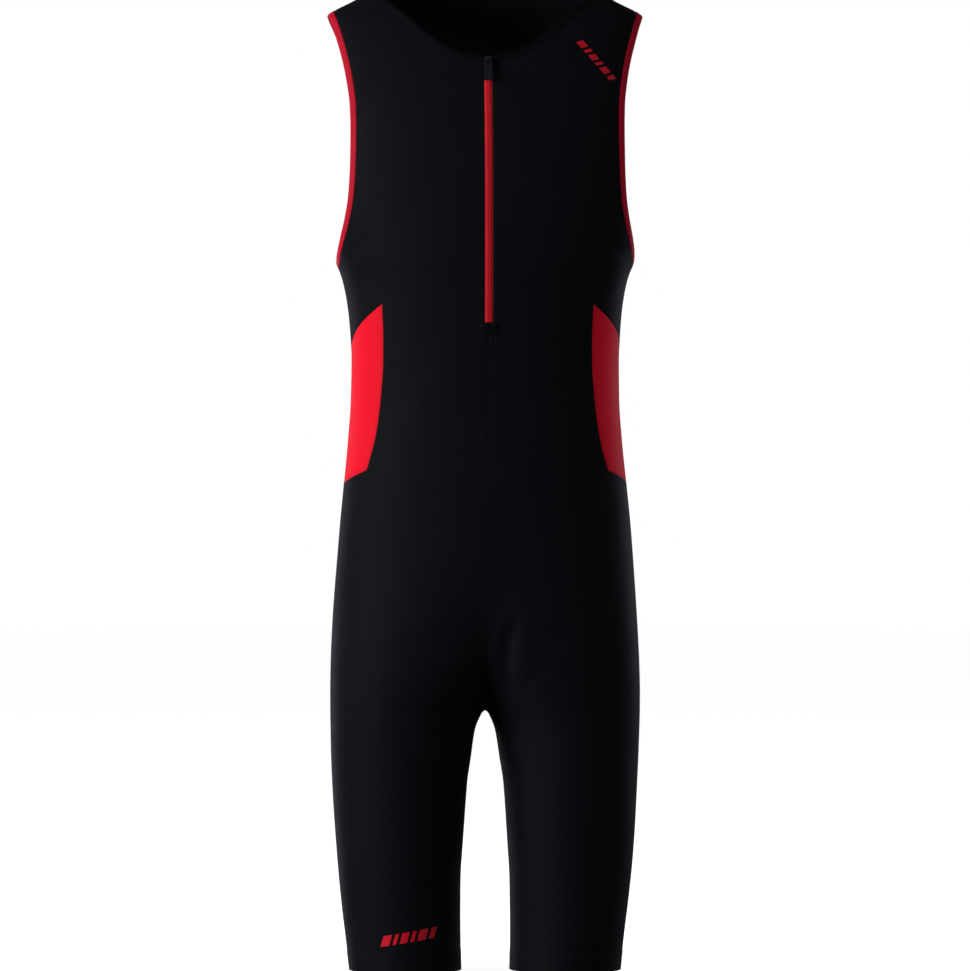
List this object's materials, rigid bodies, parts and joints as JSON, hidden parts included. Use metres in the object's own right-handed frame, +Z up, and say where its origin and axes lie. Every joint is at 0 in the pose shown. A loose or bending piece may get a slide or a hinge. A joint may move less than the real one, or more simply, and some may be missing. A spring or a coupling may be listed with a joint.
{
  "type": "triathlon suit",
  "caption": "Sleeveless one-piece triathlon suit with short legs, a half-length front zip, contrast waist inserts and bound armholes, filled out as it is worn.",
  "frame": {"origin": "on the centre plane, midway between the two points where the neck's edge meets the top of the shoulders", "axes": "+Z up, -Y the way the wearer faces, +X the wearer's left"},
  "size_m": [0.3222, 0.218, 1.0031],
  "materials": {
    "black_knit": "smooth compression knit with a soft sheen",
    "red_knit": "smooth knit with fine open mesh",
    "black_binding": "matt folded elastic",
    "red_binding": "folded elastic with a faint rib",
    "red_tape": "woven zip tape",
    "dark_metal": "satin black lacquer"
  },
  "bodies": {
    "suit": {"front_left": "black_knit", "front_right": "black_knit", "back_left": "black_knit", "back_right": "black_knit", "underarm_left": "black_knit", "underarm_right": "black_knit", "side_insert_left": "red_knit", "side_insert_right": "red_knit", "armhole_binding_left": "red_binding", "armhole_binding_right": "red_binding", "neck_binding": "black_binding", "zip_tape_left": "red_tape", "zip_tape_right": "red_tape", "zip_end": "black_binding", "zip_slider": "dark_metal"},
    "pull_tab": {"zip_pull_tab": "dark_metal"}
  },
  "joints": [
    {"name": "pull_tab_swing", "type": "hinge", "parent": "suit", "child": "pull_tab", "pos_m": [0, -0.07366, -0.08077], "axis": [-1, 0, 0], "range_deg": [0, 150]}
  ]
}
